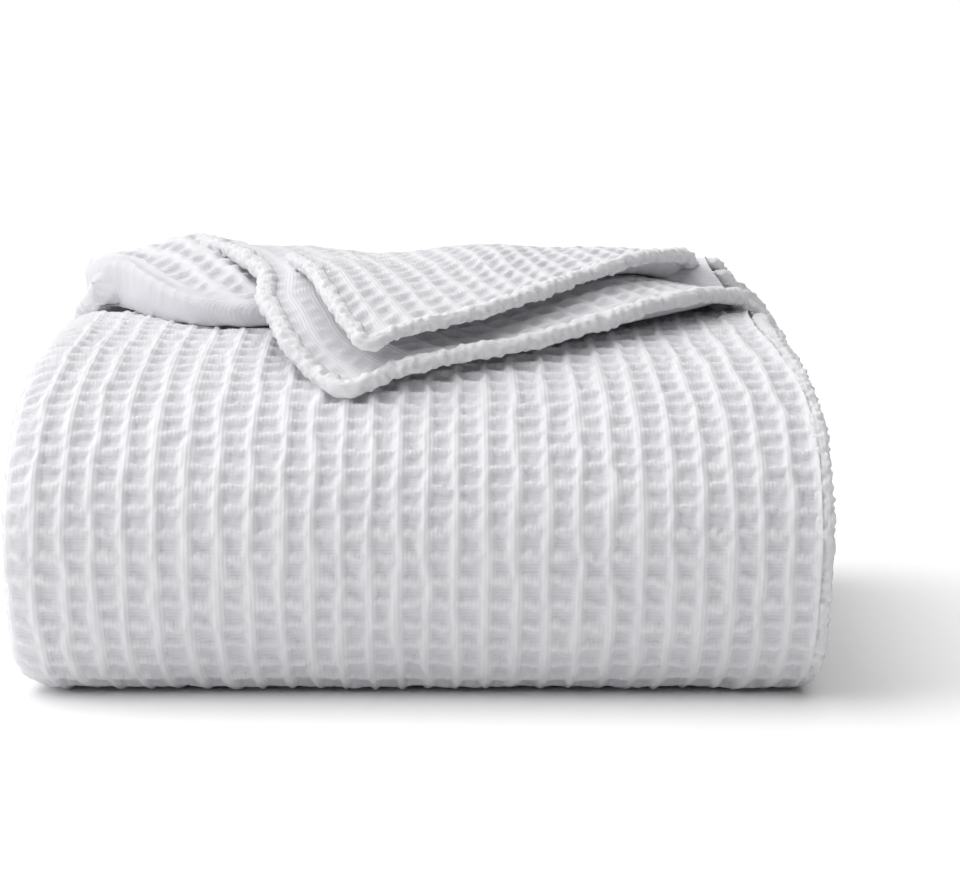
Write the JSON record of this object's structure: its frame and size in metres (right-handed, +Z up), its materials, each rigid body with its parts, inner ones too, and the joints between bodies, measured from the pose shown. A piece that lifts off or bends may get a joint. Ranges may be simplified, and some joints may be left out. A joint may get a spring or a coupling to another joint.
{
  "type": "folded throw blanket",
  "caption": "White waffle-weave cotton throw, folded in four across and rolled flat into a rounded pile, with one hemmed corner turned loosely over the top.",
  "frame": {"origin": "centre of the pile's footprint, on the surface it rests on", "axes": "+X to the right along the folded strip's width, +Y towards the back, +Z up; the rounded front fold faces -Y"},
  "size_m": [0.316, 0.29, 0.1607],
  "materials": {
    "waffle_cloth": "matte cotton waffle weave",
    "hem": "matte turned cotton hem"
  },
  "bodies": {
    "rolled_pile": {"leaf_1_core": "waffle_cloth", "back_fold_inner": "waffle_cloth", "leaf_2_upper": "waffle_cloth", "front_fold_inner": "waffle_cloth", "leaf_3_lower": "waffle_cloth", "back_fold_middle": "waffle_cloth", "leaf_4_upper": "waffle_cloth", "front_fold_outer": "waffle_cloth", "leaf_5_bottom": "waffle_cloth", "back_fold_outer": "waffle_cloth", "top_ply_lower": "waffle_cloth", "top_ply_upper": "waffle_cloth", "side_hem_outer": "hem", "side_hem_inner": "hem"},
    "lower_flap": {"lower_flap_ply": "waffle_cloth", "lower_flap_long_hem": "hem", "lower_flap_end_hem": "hem"},
    "upper_flap": {"upper_flap_ply": "waffle_cloth", "upper_flap_long_hem": "hem", "upper_flap_end_hem": "hem"}
  },
  "joints": [
    {"name": "lower_flap_lift", "type": "hinge", "parent": "rolled_pile", "child": "lower_flap", "pos_m": [0, 0.08, 0.147], "axis": [-1, 0, 0], "range_deg": [0, 50]},
    {"name": "upper_flap_lift", "type": "hinge", "parent": "lower_flap", "child": "upper_flap", "pos_m": [0, 0.08, 0.157], "axis": [-1, 0, 0], "range_deg": [0, 40]}
  ]
}
